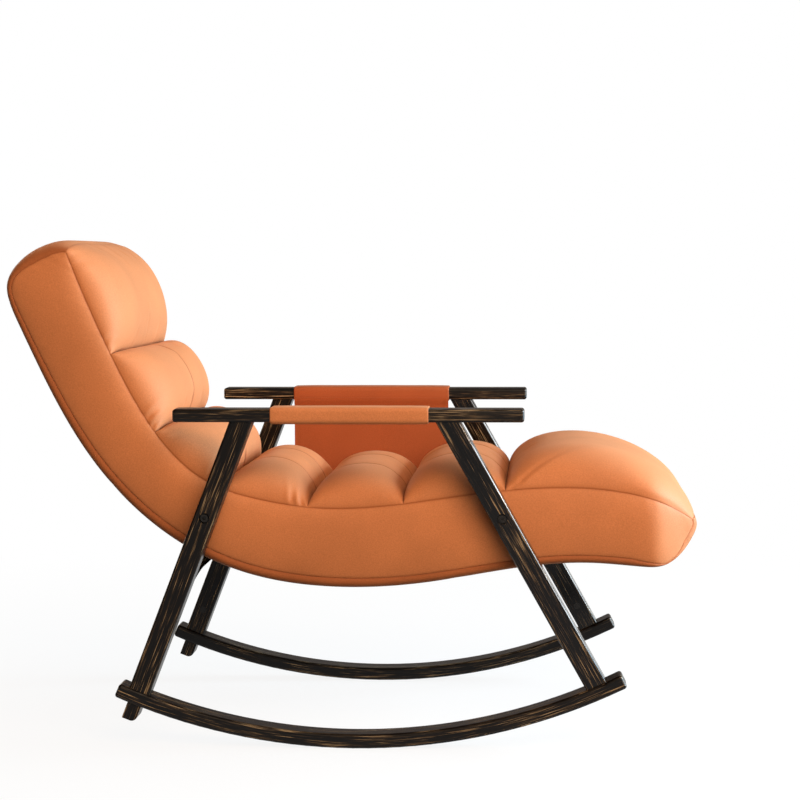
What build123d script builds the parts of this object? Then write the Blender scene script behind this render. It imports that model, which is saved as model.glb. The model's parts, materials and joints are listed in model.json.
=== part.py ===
from build123d import *
import os
from math import asin, cos, degrees, pi, radians, sin, sqrt

# Rocking lounge chair: two wooden side frames stand on curved rockers and carry one long S-shaped seat.
# Sizes are millimetres and angles are degrees. X points forward, Y to the sitter's left, Z up.
# The origin is on the floor, below the middle of the chair's outer box.

# Side frames
frame_width = 630.0  # outer face to outer face
member_depth = 50.0  # arm rails and rockers, across the chair
edge_round = 5.0
arm_height = 569.0  # floor to the top of the arm rails
arm_rail_height = 22.0
arm_rear_overhang = 114.0  # rail length behind the rear leg's axis
arm_front_overhang = 127.0  # rail length ahead of the front leg's axis

# Legs, which lean apart from the arm rails down to the rockers
leg_width = 36.0
leg_depth = 42.0
leg_round = 4.0
rear_leg_top = -178.0  # X of the axis at the underside of the arm rail
rear_leg_lean = -21.0
front_leg_top = 168.0
front_leg_lean = 29.25
leg_housing = 3.0  # how far a leg's foot is let into the rocker
tenon_length = 24.0
tenon_width = 26.0
tenon_height = 14.0

# Rockers
rocker_radius = 1020.0
rocker_height = 24.0
rocker_contact = 14.0  # X where the rockers touch the floor at rest
rocker_rear_overhang = 36.0  # along the arc, from the leg's axis to the end
rocker_front_overhang = 47.0
stop_width = 24.0
stop_depth = 40.0
stop_drop = 28.0  # how far a stop block stands out below its rocker
stop_notch = 1.5
stop_round = 10.0

# Arched stretcher between the rear legs
stretcher_gap = 9.0  # below the underside of the seat, along the legs
stretcher_bar = 26.0
stretcher_thickness = 22.0
stretcher_inset = 4.0  # behind the front faces of the legs
haunch_drop = 38.0
haunch_length = 104.0
dowel_diameter = 10.0
dowel_length = 30.0

# Fasteners
bolt_diameter = 8.0
bolt_head_diameter = 13.0
bolt_head_height = 7.0
bolt_socket = 6.0  # across the flats
bolt_socket_depth = 4.0
bolt_clearance = 0.3  # radial, in plain holes
thread_clearance = 0.1  # radial, in nuts and bosses
recess_clearance = 1.0  # radial, round a sunk bolt head
nut_diameter = 12.0
nut_length = 28.0
nut_height = 45.0  # barrel nut above the top of the rocker, along the leg
bolt_past_nut = 12.0
washer_diameter = 17.0
washer_thickness = 1.5
seat_bolt_height = 386.0
seat_bolt_reach = 22.0  # thread inside the seat
spacer_diameter = 24.0
spacer_length = 7.0  # gap between a leg and the side of the seat

# Seat outline in X and Z, with Z counted from the seat bolts
seam_points = [
    (-478, 456), (-450, 366), (-408, 276), (-336, 153), (-247, 63), (-153, 26), (-35, 10),
    (89, 18), (203, 34), (338, 46), (457, 39), (530, 18), (581, -12),
]
head_bend = (-548, 448)
back_points = [
    (-585, 388), (-564, 323), (-523, 235), (-441, 98), (-340, -12), (-197, -91), (-35, -121),
    (128, -114), (300, -88), (412, -81), (505, -88),
]
nose_bend = (561, -66)
nose_round = 50.0  # corners of the front end, seen from above
rail_points = [
    (-486, 372), (-371, 140), (-222, -4), (-62, -55), (92, -57), (322, -34), (528, -56),
]
rail_bends = [260.0, 260.0, 260.0, 400.0, 300.0]

# Cushion rolls: length along the seam and height above it
rolls = {
    "head_roll": (185.0, 50.0),
    "lumbar_roll": (143.0, 50.0),
    "lower_back_roll": (171.0, 50.0),
    "seat_roll_rear": (140.0, 50.0),
    "seat_roll_middle": (162.0, 53.0),
    "seat_roll_front": (174.0, 53.0),
    "leg_roll": (326.0, 60.0),
}
roll_end_steps = [(0.0, 0.30), (16.0, 0.78), (46.0, 1.0)]  # distance from the side, share of the height
soft_gap = 0.3
touch_gap = 0.05
cover_thickness = 12.0
boxing_thickness = 18.0
boxing_cover_span = (0.012, 0.985)  # share of the cover's line that the side panel follows
boxing_seam_span = (0.016, 0.98)
foam_rail_span = (0.03, 0.97)
foam_seam_span = (0.07, 0.94)

# Steel frame inside the seat
rail_diameter = 22.0
cross_diameter = 18.0
tube_wall = 2.0
cross_tubes = {
    "head_tube": 0.03, "back_tube": 0.22, "lumbar_tube": 0.40,
    "seat_tube": 0.58, "knee_tube": 0.78, "foot_tube": 0.97,
}
lug_thickness = 5.0
lug_length = 40.0
lug_rise = 26.0  # above the bolt
lug_drop = 46.0  # below the bolt
boss_diameter = 20.0
strap_width = 40.0
strap_thickness = 2.0
straps = {
    "back_webbing": (0.08, 0.13, 0.18, 0.27, 0.32, 0.37),
    "seat_webbing": (0.46, 0.51, 0.56, 0.63, 0.68, 0.73),
    "leg_webbing": (0.83, 0.88, 0.93),
}

# Fabric on the arms, with a pouch that hangs at the left side
sleeve_thickness = 3.0
sleeve_clearance = 0.2
right_sleeve_length = 264.0
right_sleeve_shift = 9.0  # forward of the middle between the legs
left_sleeve_length = 300.0
left_sleeve_shift = 0.0
pouch_width = 298.0
pouch_drop = 255.0
pouch_thickness = 4.0
pouch_gap = 3.0  # between the side of the seat and the panel
pocket_height = 170.0
pocket_depth = 20.0
pocket_wall = 2.5

# Places worked out from the sizes above
half_width = frame_width / 2
member_y = half_width - member_depth / 2
leg_inner = member_y - leg_depth / 2
leg_outer = member_y + leg_depth / 2
seat_half = leg_inner - spacer_length
soft_half = seat_half - soft_gap
boxing_inner = soft_half - boxing_thickness
rail_y = boxing_inner - soft_gap - lug_thickness - rail_diameter / 2
strap_lift = (strap_width / 2) ** 2 / (2 * min(rail_bends)) + touch_gap  # flat straps on bent rails
arm_under = arm_height - arm_rail_height
rocker_centre = (rocker_contact, rocker_radius)
bolt_hole = bolt_diameter / 2 + bolt_clearance
thread_hole = bolt_diameter / 2 + thread_clearance
recess_radius = bolt_head_diameter / 2 + recess_clearance
washer_recess = washer_thickness + bolt_head_height
legs = {"rear": (rear_leg_top, rear_leg_lean), "front": (front_leg_top, front_leg_lean)}
sides = {"left": 1, "right": -1}
BOTTOM = (Align.CENTER, Align.CENTER, Align.MIN)
cover_samples = 40
roll_samples = 12


def across(outline, y_low, y_high):
    """Solid between two Y values from closed edges drawn in X and Z."""
    face = Plane.XZ.offset(-y_low) * make_face(outline)
    return extrude(face, amount=y_high - y_low, dir=(0, 1, 0))


def cross_rod(x, z, radius, y_low, y_high):
    """Round rod along Y between two Y values."""
    return Pos(x, (y_low + y_high) / 2, z) * Rot(X=90) * Cylinder(radius, abs(y_high - y_low))


def beside(curve, distance, start=0.0, end=1.0, samples=24):
    """Curve that keeps its distance from another one, counted to the left of its direction."""
    points = []
    for step in range(samples + 1):
        t = start + (end - start) * step / samples
        place = curve @ t
        way = curve % t
        points.append((place.X - way.Y * distance, place.Y + way.X * distance))
    return Spline(*points)


def from_bolts(points):
    """Seat points with Z counted from the floor."""
    return [(x, z + seat_bolt_height) for x, z in points]


def leg_way(lean):
    """Direction down a leg, and the direction square to it that points forward, in X and Z."""
    down = (sin(radians(lean)), -cos(radians(lean)))
    return down, (-down[1], down[0])


def down_leg(leg, distance, forward=0.0):
    """Point in X and Z that lies down a leg's axis from the arm rail."""
    top, lean = legs[leg]
    down, ahead = leg_way(lean)
    return (
        top + down[0] * distance + ahead[0] * forward,
        arm_under + down[1] * distance + ahead[1] * forward,
    )


def leg_to_arc(leg, radius):
    """Distance down a leg's axis to an arc round the centre of the rockers."""
    top, lean = legs[leg]
    down, _ = leg_way(lean)
    gap = (top - rocker_centre[0], arm_under - rocker_centre[1])
    along = gap[0] * down[0] + gap[1] * down[1]
    return -along + sqrt(along**2 - gap[0] ** 2 - gap[1] ** 2 + radius**2)


def leg_to_height(leg, height):
    """Distance down a leg's axis to a height above the floor."""
    return (arm_under - height) / cos(radians(legs[leg][1]))


def leg_plane(leg, y, distance):
    """Plane square to a leg's axis, with its normal down the leg and its X forward."""
    down, ahead = leg_way(legs[leg][1])
    x, z = down_leg(leg, distance)
    return Plane(origin=(x, y, z), x_dir=(ahead[0], 0, ahead[1]), z_dir=(down[0], 0, down[1]))


def leg_rod(leg, y, radius, start, end):
    """Round rod along a leg's axis between two distances down it."""
    return leg_plane(leg, y, start) * Cylinder(radius, end - start, align=BOTTOM)


def seat_bolt_place(leg):
    """X and Z of the bolt that ties a leg to the seat."""
    return down_leg(leg, leg_to_height(leg, seat_bolt_height))


rocker_top = {leg: leg_to_arc(leg, rocker_radius - rocker_height) for leg in legs}
rocker_under = {leg: leg_to_arc(leg, rocker_radius) for leg in legs}
bolt_end = {leg: rocker_top[leg] - nut_height - bolt_past_nut for leg in legs}
bolt_start = {"front": rocker_under["front"], "rear": rocker_under["rear"] + stop_drop}
seam = Spline(*from_bolts(seam_points))
head_arc = ThreePointArc(*from_bolts([seam_points[0], head_bend, back_points[0]]))
nose_arc = ThreePointArc(*from_bolts([back_points[-1], nose_bend, seam_points[-1]]))
back_line = Spline(*from_bolts(back_points), tangents=[head_arc % 1, nose_arc % 0])
shell_line = Wire([head_arc, back_line, nose_arc])
nose_x = shell_line.bounding_box().max.X
rail_line = FilletPolyline(*from_bolts(rail_points), radius=rail_bends)


def leg_to_seat(leg, forward):
    """Distance down a leg to the underside of the seat, on a line ahead of the leg's axis."""
    down = Vector(*leg_way(legs[leg][1])[0])
    start = Vector(*down_leg(leg, 0, forward))
    crossing = back_line.find_intersection_points(Axis(start, down))[0]
    return (crossing - start).dot(down)


stretcher_front = leg_width / 2 - stretcher_inset
stretcher_top = leg_to_seat("rear", stretcher_front) + stretcher_gap
dowel_places = [stretcher_bar / 2, stretcher_bar + haunch_drop / 2]


def socket_bolt(length):
    """Cap bolt along Z with its head on top of Z = 0 and a hexagon socket."""
    shank = Pos(0, 0, -length) * Cylinder(bolt_diameter / 2, length, align=BOTTOM)
    head = Cylinder(bolt_head_diameter / 2, bolt_head_height, align=BOTTOM)
    socket = extrude(RegularPolygon(bolt_socket / 2, 6, major_radius=False), amount=bolt_socket_depth)
    return shank + head - Pos(0, 0, bolt_head_height - bolt_socket_depth) * socket


def make_leg(leg, side):
    """Leg with a tenon for the arm rail and holes for its bolts."""
    y = side * member_y
    foot = rocker_top[leg] + leg_housing
    lean = radians(legs[leg][1])
    top_edge = {end: end * leg_width / 2 * sin(lean) / cos(lean) for end in (-1, 1)}
    corners = [
        down_leg(leg, top_edge[-1], -leg_width / 2),
        down_leg(leg, top_edge[1], leg_width / 2),
        down_leg(leg, foot, leg_width / 2),
        down_leg(leg, foot, -leg_width / 2),
    ]
    outline = Polyline(*corners, close=True)
    body = across(outline, y - leg_depth / 2, y + leg_depth / 2)
    down = leg_plane(leg, y, 0).z_dir
    body = fillet(body.edges().filter_by(Axis((0, 0, 0), down)), leg_round)
    body += Pos(legs[leg][0], y, arm_under) * Box(tenon_length, tenon_width, tenon_height, align=BOTTOM)
    body -= leg_rod(leg, y, bolt_hole, bolt_end[leg] - bolt_clearance, foot)
    nut_x, nut_z = down_leg(leg, rocker_top[leg] - nut_height)
    nut_ends = sorted([side * leg_inner, side * (leg_inner + nut_length)])
    body -= cross_rod(nut_x, nut_z, nut_diameter / 2 + thread_clearance, *nut_ends)
    x, z = seat_bolt_place(leg)
    body -= cross_rod(x, z, bolt_hole, y - leg_depth / 2, y + leg_depth / 2)
    recess = sorted([side * leg_outer, side * (leg_outer - washer_recess)])
    body -= cross_rod(x, z, washer_diameter / 2 + bolt_clearance, *recess)
    if leg == "rear":
        for dowel in dowels(side, thread_clearance):
            body -= dowel
    return body


def make_arm_rail(side, leg_solids):
    """Flat arm rail with rounded edges and blind mortises for the leg tenons."""
    start = rear_leg_top - arm_rear_overhang
    end = front_leg_top + arm_front_overhang
    body = Box(end - start, member_depth, arm_rail_height, align=BOTTOM)
    body = fillet(body.edges(), edge_round)
    body = Pos((start + end) / 2, side * member_y, arm_under) * body
    for leg in leg_solids:
        body -= leg
    return body


def foot_angle(leg):
    """Angle from straight down to a leg's foot, seen from the centre of the rockers."""
    x, _ = down_leg(leg, rocker_top[leg])
    return degrees(asin((x - rocker_centre[0]) / (rocker_radius - rocker_height)))


def make_rocker(side, cutters):
    """Curved rocker, let in for the legs and the stop block and bored for the bolts."""
    rear = foot_angle("rear") - degrees(rocker_rear_overhang / rocker_radius)
    front = foot_angle("front") + degrees(rocker_front_overhang / rocker_radius)
    under = CenterArc(rocker_centre, rocker_radius, 270 + rear, front - rear)
    top = CenterArc(rocker_centre, rocker_radius - rocker_height, 270 + rear, front - rear)
    outline = [under, top, Line(under @ 0, top @ 0), Line(under @ 1, top @ 1)]
    y = side * member_y
    body = across(outline, y - member_depth / 2, y + member_depth / 2)
    body = fillet(body.edges(), edge_round)
    for leg in legs:
        body -= leg_rod(leg, y, bolt_hole, rocker_top[leg] - leg_housing, rocker_under[leg] + stop_notch)
    recess_top = rocker_under["front"] - bolt_head_height - recess_clearance
    body -= leg_rod("front", y, recess_radius, recess_top, rocker_under["front"] + bolt_head_height)
    for cutter in cutters:
        body -= cutter
    return body


def make_stop_block(side):
    """Block below the rear end of a rocker that stops the chair from rolling over backwards."""
    y = side * member_y
    length = stop_drop + stop_notch
    block = Box(stop_width, stop_depth, length, align=BOTTOM)
    toe = block.edges().filter_by(Axis.Y).sort_by(Axis((0, 0, 0), (1, 0, 1)))[-1]
    block = fillet(toe, stop_round)
    block = leg_plane("rear", y, rocker_under["rear"] - stop_notch) * block
    end = rocker_under["rear"] + stop_drop
    block -= leg_rod("rear", y, bolt_hole, rocker_under["rear"] - stop_notch, end)
    block -= leg_rod("rear", y, recess_radius, end - bolt_head_height - recess_clearance, end)
    return block


def foot_bolt(leg, side):
    """Long bolt from below the rocker into the barrel nut of a leg."""
    y = side * member_y
    seat = bolt_start[leg] - bolt_head_height - recess_clearance
    return leg_plane(leg, y, seat) * socket_bolt(seat - bolt_end[leg])


def barrel_nut(leg, side):
    """Round cross nut inside a leg, flush with the leg's inner face."""
    x, z = down_leg(leg, rocker_top[leg] - nut_height)
    nut = cross_rod(x, z, nut_diameter / 2, *sorted([side * leg_inner, side * (leg_inner + nut_length)]))
    return nut - leg_rod(leg, side * member_y, thread_hole, bolt_end[leg], rocker_top[leg])


def dowels(side, clearance=0.0):
    """Two dowels that tie one end of the stretcher to a leg."""
    rods = []
    for place in dowel_places:
        x, z = down_leg("rear", stretcher_top + place, stretcher_front - stretcher_thickness / 2)
        ends = sorted([side * (leg_inner - dowel_length / 2), side * (leg_inner + dowel_length / 2)])
        rods.append(cross_rod(x, z, dowel_diameter / 2 + clearance, *ends))
    return rods


def make_stretcher():
    """Cross bar in the plane of the rear legs, with curved haunches at both ends."""
    reach = leg_inner - haunch_length
    low = -stretcher_bar - haunch_drop
    middle = Line((-reach, -stretcher_bar), (reach, -stretcher_bar))
    left_haunch = TangentArc((reach, -stretcher_bar), (leg_inner, low), tangent=(1, 0))
    right_haunch = TangentArc((-reach, -stretcher_bar), (-leg_inner, low), tangent=(-1, 0))
    frame = Polyline((-leg_inner, low), (-leg_inner, 0), (leg_inner, 0), (leg_inner, low))
    sketch = make_face([middle, left_haunch, right_haunch, frame])
    down, ahead = leg_way(rear_leg_lean)
    x, z = down_leg("rear", stretcher_top, stretcher_front - stretcher_thickness)
    plane = Plane(origin=(x, 0, z), x_dir=(0, 1, 0), z_dir=(ahead[0], 0, ahead[1]))
    body = extrude(plane * sketch, amount=stretcher_thickness, dir=(ahead[0], 0, ahead[1]))
    for side in sides.values():
        for dowel in dowels(side, thread_clearance):
            body -= dowel
    return body


def seat_bolt(leg, side):
    """Bolt from the outside of a leg into the seat."""
    x, z = seat_bolt_place(leg)
    seat = leg_outer - bolt_head_height
    length = seat - seat_half + seat_bolt_reach
    plane = Plane(origin=(x, side * seat, z), x_dir=(1, 0, 0), z_dir=(0, side, 0))
    return plane * socket_bolt(length)


def seat_washer(leg, side):
    """Washer below a seat bolt's head."""
    x, z = seat_bolt_place(leg)
    ends = sorted([side * (leg_outer - bolt_head_height), side * (leg_outer - washer_recess)])
    return cross_rod(x, z, washer_diameter / 2, *ends) - cross_rod(x, z, bolt_hole, *ends)


def seat_spacer(leg, side):
    """Ring that holds the seat off a leg."""
    x, z = seat_bolt_place(leg)
    ends = sorted([side * seat_half, side * leg_inner])
    return cross_rod(x, z, spacer_diameter / 2, *ends) - cross_rod(x, z, bolt_hole, *ends)


def seat_lug(leg, side):
    """Plate welded to a seat rail, with a threaded boss that reaches out through the side of the seat."""
    x, z = seat_bolt_place(leg)
    inner = rail_y + rail_diameter / 2
    plate = Box(lug_length, lug_thickness, lug_rise + lug_drop, align=BOTTOM)
    plate = Pos(x, side * (inner + lug_thickness / 2), z - lug_drop) * plate
    boss_ends = sorted([side * (inner + lug_thickness), side * seat_half])
    hole_ends = sorted([side * inner, side * seat_half])
    boss = cross_rod(x, z, boss_diameter / 2, *boss_ends)
    return plate + boss - cross_rod(x, z, thread_hole, *hole_ends)


def make_seat_rail(side):
    """Bent steel tube along one side of the seat."""
    ring = Circle(rail_diameter / 2) - Circle(rail_diameter / 2 - tube_wall)
    path = Plane.XZ.offset(-side * rail_y) * rail_line
    start = Plane(origin=path @ 0, x_dir=(0, 1, 0), z_dir=path % 0)
    return sweep(start * ring, path=path)


def make_cross_tube(share):
    """Straight tube from one seat rail to the other."""
    place = rail_line @ share
    end = rail_y - rail_diameter / 2
    tube = cross_rod(place.X, place.Y, cross_diameter / 2, -end, end)
    return tube - cross_rod(place.X, place.Y, cross_diameter / 2 - tube_wall, -end, end)


def make_strap(share):
    """Elastic strap stretched over the seat rails."""
    place = rail_line @ share
    way = rail_line % share
    plane = Plane(origin=(place.X, 0, place.Y), x_dir=(way.X, 0, way.Y), z_dir=(-way.Y, 0, way.X))
    strap = Box(strap_width, 2 * rail_y, strap_thickness, align=BOTTOM)
    return plane * Pos(0, 0, rail_diameter / 2 + strap_lift) * strap


def round_nose(body):
    """Body with the corners of the seat's front end rounded, seen from above."""
    box = body.bounding_box()
    size = (nose_x - box.min.X, 2 * soft_half, box.size.Z)
    room = Box(*size, align=(Align.MAX, Align.CENTER, Align.MIN))
    corners = room.edges().filter_by(Axis.Z).group_by(Axis.X)[-1]
    return body & Pos(nose_x, 0, box.min.Z) * fillet(corners, nose_round)


def make_foam():
    """Foam between the straps and the cushion rolls."""
    floor = rail_diameter / 2 + 2 * strap_lift + strap_thickness + soft_gap
    low = beside(rail_line, floor, *foam_rail_span)
    high = beside(seam, -soft_gap, *foam_seam_span)
    outline = [low, high, Line(low @ 0, high @ 0), Line(low @ 1, high @ 1)]
    half = rail_y + rail_diameter / 2 - soft_gap
    return across(outline, -half, half)


def make_under_cover():
    """Padded cover round the head end, the back, the underside and the front end."""
    inner = beside(shell_line, cover_thickness, samples=cover_samples)
    outline = [shell_line, inner, Line(shell_line @ 0, inner @ 0), Line(shell_line @ 1, inner @ 1)]
    return round_nose(across(outline, -soft_half, soft_half))


def make_boxing(side):
    """Side panel of the seat between the seam and the cover, open for the bosses."""
    low = beside(shell_line, cover_thickness + 2 * soft_gap, *boxing_cover_span, samples=cover_samples)
    high = beside(seam, 0.0, *boxing_seam_span)
    outline = [low, high, Line(low @ 0, high @ 0), Line(low @ 1, high @ 1)]
    ends = sorted([side * boxing_inner, side * soft_half])
    body = across(outline, *ends)
    for leg in legs:
        x, z = seat_bolt_place(leg)
        body -= cross_rod(x, z, boss_diameter / 2 + soft_gap, *ends)
    return round_nose(body)


def roll_section(start, end, height, y):
    """Face across a cushion roll: a half ellipse stood on the seam."""
    points = []
    for step in range(roll_samples + 1):
        turn = pi * step / roll_samples
        t = start + (end - start) * (1 - cos(turn)) / 2
        rise = soft_gap + height * sin(turn)
        place = seam @ t
        way = seam % t
        points.append((place.X - way.Y * rise, place.Y + way.X * rise))
    low = beside(seam, soft_gap, start, end, roll_samples)
    return Plane.XZ.offset(-y) * make_face([Spline(*points), low])


def make_roll(start, end, height):
    """Cushion roll across the seat, lower towards its two ends."""
    sections = []
    for inset, share in roll_end_steps:
        sections.append((-soft_half + inset, share))
    for inset, share in reversed(roll_end_steps):
        sections.append((soft_half - inset, share))
    faces = [roll_section(start, end, height * share, y) for y, share in sections]
    return loft(faces, ruled=True)


def make_sleeve(side, length, shift):
    """Fabric wrapped round an arm rail."""
    inner_size = (member_depth + 2 * sleeve_clearance, arm_rail_height + 2 * sleeve_clearance)
    outer_size = [size + 2 * sleeve_thickness for size in inner_size]
    inner = RectangleRounded(*inner_size, edge_round + sleeve_clearance)
    outer = RectangleRounded(*outer_size, edge_round + sleeve_clearance + sleeve_thickness)
    middle = (rear_leg_top + front_leg_top) / 2 + shift
    plane = Plane(
        origin=(middle - length / 2, side * member_y, arm_height - arm_rail_height / 2),
        x_dir=(0, 1, 0),
        z_dir=(1, 0, 0),
    )
    return extrude(plane * (outer - inner), amount=length)


sleeve_under = arm_under - sleeve_clearance - sleeve_thickness
pouch_middle = (rear_leg_top + front_leg_top) / 2 + left_sleeve_shift
pouch_hinge = sleeve_under - soft_gap - pouch_thickness / 2
pouch_low = pouch_hinge - pouch_drop
pouch_y = seat_half + pouch_gap + pouch_thickness / 2


def make_pouch_back():
    """Panel that hangs from the inner edge of the left arm, rounded along its upper edge where it bends."""
    panel = Box(pouch_width, pouch_thickness, pouch_drop, align=BOTTOM)
    hem = Pos(0, 0, pouch_drop) * Rot(Y=90) * Cylinder(pouch_thickness / 2, pouch_width)
    return Pos(pouch_middle, pouch_y, pouch_low) * (panel + hem)


def make_pouch_pocket():
    """Pocket on the outer side of the panel, open at the top."""
    outer = Box(pouch_width, pocket_depth, pocket_height, align=(Align.CENTER, Align.MIN, Align.MIN))
    room = Box(
        pouch_width - 2 * pocket_wall,
        pocket_depth - pocket_wall,
        pocket_height - pocket_wall,
        align=(Align.CENTER, Align.MIN, Align.MIN),
    )
    pocket = outer - Pos(0, 0, pocket_wall) * room
    return Pos(pouch_middle, pouch_y + pouch_thickness / 2, pouch_low) * pocket


def build():
    """All nodes of the chair by name."""
    nodes = {}
    for name, side in sides.items():
        pair = {leg: make_leg(leg, side) for leg in legs}
        block = make_stop_block(side)
        nodes[f"arm_rail_{name}"] = make_arm_rail(side, pair.values())
        nodes[f"front_leg_{name}"] = pair["front"]
        nodes[f"rear_leg_{name}"] = pair["rear"]
        nodes[f"rocker_{name}"] = make_rocker(side, [*pair.values(), block])
        nodes[f"stop_block_{name}"] = block
        nodes[f"seat_rail_{name}"] = make_seat_rail(side)
        nodes[f"side_boxing_{name}"] = make_boxing(side)
    corners = [(leg, side) for leg in legs for side in sides.values()]
    nodes["rear_stretcher"] = make_stretcher()
    nodes["stretcher_dowels"] = [rod for side in sides.values() for rod in dowels(side)]
    nodes["front_foot_bolts"] = [foot_bolt("front", side) for side in sides.values()]
    nodes["rear_foot_bolts"] = [foot_bolt("rear", side) for side in sides.values()]
    nodes["barrel_nuts"] = [barrel_nut(*corner) for corner in corners]
    nodes["seat_bolts"] = [seat_bolt(*corner) for corner in corners]
    nodes["seat_bolt_washers"] = [seat_washer(*corner) for corner in corners]
    nodes["seat_spacers"] = [seat_spacer(*corner) for corner in corners]
    nodes["seat_lugs"] = [seat_lug(*corner) for corner in corners]
    for name, share in cross_tubes.items():
        nodes[name] = make_cross_tube(share)
    for name, shares in straps.items():
        nodes[name] = [make_strap(share) for share in shares]
    nodes["foam_core"] = make_foam()
    nodes["under_cover"] = make_under_cover()
    total = sum(length for length, _ in rolls.values())
    done = 0.0
    for name, (length, height) in rolls.items():
        nodes[name] = make_roll((done + soft_gap) / total, (done + length - soft_gap) / total, height)
        done += length
    nodes["leg_roll"] = round_nose(nodes["leg_roll"])
    nodes["arm_sleeve_right"] = make_sleeve(sides["right"], right_sleeve_length, right_sleeve_shift)
    nodes["arm_sleeve_left"] = make_sleeve(sides["left"], left_sleeve_length, left_sleeve_shift)
    nodes["pouch_back"] = make_pouch_back()
    nodes["pouch_pocket"] = make_pouch_pocket()
    return nodes


os.makedirs("parts", exist_ok=True)
for node, shape in build().items():
    whole = Compound(children=shape) if isinstance(shape, list) else shape
    export_step(whole, f"parts/{node}.step")
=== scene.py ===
# %% [markdown]
# # A rocking lounge chair
# The chair is two dark wooden side frames on curved rockers with one long S-shaped upholstered seat
# between them. The wood, the bolts and the steel inside the seat come from the CAD model and keep their
# shape. The upholstery is soft, so this file makes it again: seven cushion rolls, two side panels, a
# padded cover round the back, fabric on the arms and a pouch. Everything is in metres: X points forward,
# Y to the sitter's left, Z up.

# %% Load the frame
import json
from math import pi, radians

import bmesh
import bpy
import numpy as np
from mathutils import Matrix, Vector


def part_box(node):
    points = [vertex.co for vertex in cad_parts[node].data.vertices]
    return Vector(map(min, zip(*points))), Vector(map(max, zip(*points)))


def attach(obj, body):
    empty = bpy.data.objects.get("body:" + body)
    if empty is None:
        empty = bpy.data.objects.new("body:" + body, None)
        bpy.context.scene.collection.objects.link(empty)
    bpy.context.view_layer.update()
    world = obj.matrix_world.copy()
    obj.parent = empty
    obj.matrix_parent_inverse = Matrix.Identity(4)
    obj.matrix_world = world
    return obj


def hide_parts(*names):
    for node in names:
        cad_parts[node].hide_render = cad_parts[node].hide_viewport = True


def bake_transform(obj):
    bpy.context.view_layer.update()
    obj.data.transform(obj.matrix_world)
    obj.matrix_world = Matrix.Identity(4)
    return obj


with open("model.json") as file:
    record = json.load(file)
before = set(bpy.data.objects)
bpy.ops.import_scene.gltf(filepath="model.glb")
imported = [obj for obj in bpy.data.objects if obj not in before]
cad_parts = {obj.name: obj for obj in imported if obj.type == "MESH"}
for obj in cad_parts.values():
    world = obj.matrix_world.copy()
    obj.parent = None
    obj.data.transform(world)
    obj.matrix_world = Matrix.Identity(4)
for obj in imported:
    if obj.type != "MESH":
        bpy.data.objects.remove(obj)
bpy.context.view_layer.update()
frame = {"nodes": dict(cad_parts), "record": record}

nodes = frame["nodes"]

# %% [markdown]
# ## Camera
# A product picture like this is taken from far away with a long lens, about level with the top of the
# chair. The lens sits ahead of the middle, so the far side frame shows to the right of the near one. The
# camera could be kept level and shifted sideways to frame the chair. Here it is turned a little and
# shifted a little, which keeps the rails level in the picture and the chair near the middle when the
# camera goes round it.

# %% Camera
def add_object(name, data):
    """New object with the given data, linked to the scene."""
    new = bpy.data.objects.new(name, data)
    bpy.context.scene.collection.objects.link(new)
    return new


turned_left, turned_down, tilted = 2.643, 2.617, -0.138
lens = bpy.data.cameras.new("side_camera")
lens.sensor_width = 36.0
lens.lens = 95.59
lens.shift_x = -0.0536
lens.shift_y = -0.0544
camera = add_object("side_camera", lens)
yaw = Matrix.Rotation(radians(turned_left), 4, "Z")
pitch = Matrix.Rotation(radians(90.0 - turned_down), 4, "X")
roll = Matrix.Rotation(radians(tilted), 4, "Z")
camera.rotation_euler = (yaw @ pitch @ roll).to_euler()
camera.location = (0.3222, -3.8211, 0.8172)
bpy.context.scene.camera = camera
bpy.context.scene.view_settings.view_transform = "Standard"
print("camera at", [round(x, 3) for x in camera.location], "lens", lens.lens, "mm")

# %% [markdown]
# ## Lines drawn with splines
# The side of the seat is a drawing of three lines: the upper seam, the line of the outer back and
# underside, and the welt between the side panel and the back cover. A line could be a Bezier curve
# object, but the surfaces below need points and normals at any place along it. So a line is an array
# here: a cubic spline through a few points, sampled at even distances.

# %% Splines and evenly spaced lines
line_points = 900


def spline(knots, values, at):
    """Natural cubic spline. The bend at each knot solves: (gap before) x (bend before) + 2 x (both gaps) x
    bend + (gap after) x (bend after) = 6 x (change of slope). Between two knots, the value is the cubic
    with these bends."""
    gap = np.diff(knots)
    slope = np.diff(values, axis=0) / gap[:, None]
    inner = np.arange(1, len(knots) - 1)
    system = np.eye(len(knots))
    system[inner, inner - 1] = gap[:-1]
    system[inner, inner] = 2.0 * (gap[:-1] + gap[1:])
    system[inner, inner + 1] = gap[1:]
    change = np.zeros(np.shape(values))
    change[1:-1] = 6.0 * np.diff(slope, axis=0)
    bend = np.linalg.solve(system, change)
    k = np.clip(np.searchsorted(knots, at) - 1, 0, len(knots) - 2)
    g = gap[k][:, None]
    after = (at - knots[k])[:, None]
    before = (knots[k + 1] - at)[:, None]
    curved = (bend[k] * before**3 + bend[k + 1] * after**3) / (6.0 * g)
    straight = (values[k] / g - bend[k] * g / 6.0) * before
    straight = straight + (values[k + 1] / g - bend[k + 1] * g / 6.0) * after
    return curved + straight


def travel(points):
    """Distance along a row of points, from 0 at the first one: the running sum of the steps' lengths."""
    steps = np.linalg.norm(np.diff(points, axis=0), axis=1)
    return np.concatenate([[0.0], np.cumsum(steps)])


def even_line(points):
    """Evenly spaced points on the spline through a few points."""
    knots = travel(points)
    dense = spline(knots, points, np.linspace(0.0, knots[-1], 4 * line_points))
    run = travel(dense)
    even = np.linspace(0.0, run[-1], line_points)
    return np.stack([np.interp(even, run, dense[:, i]) for i in range(2)], 1)


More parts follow.
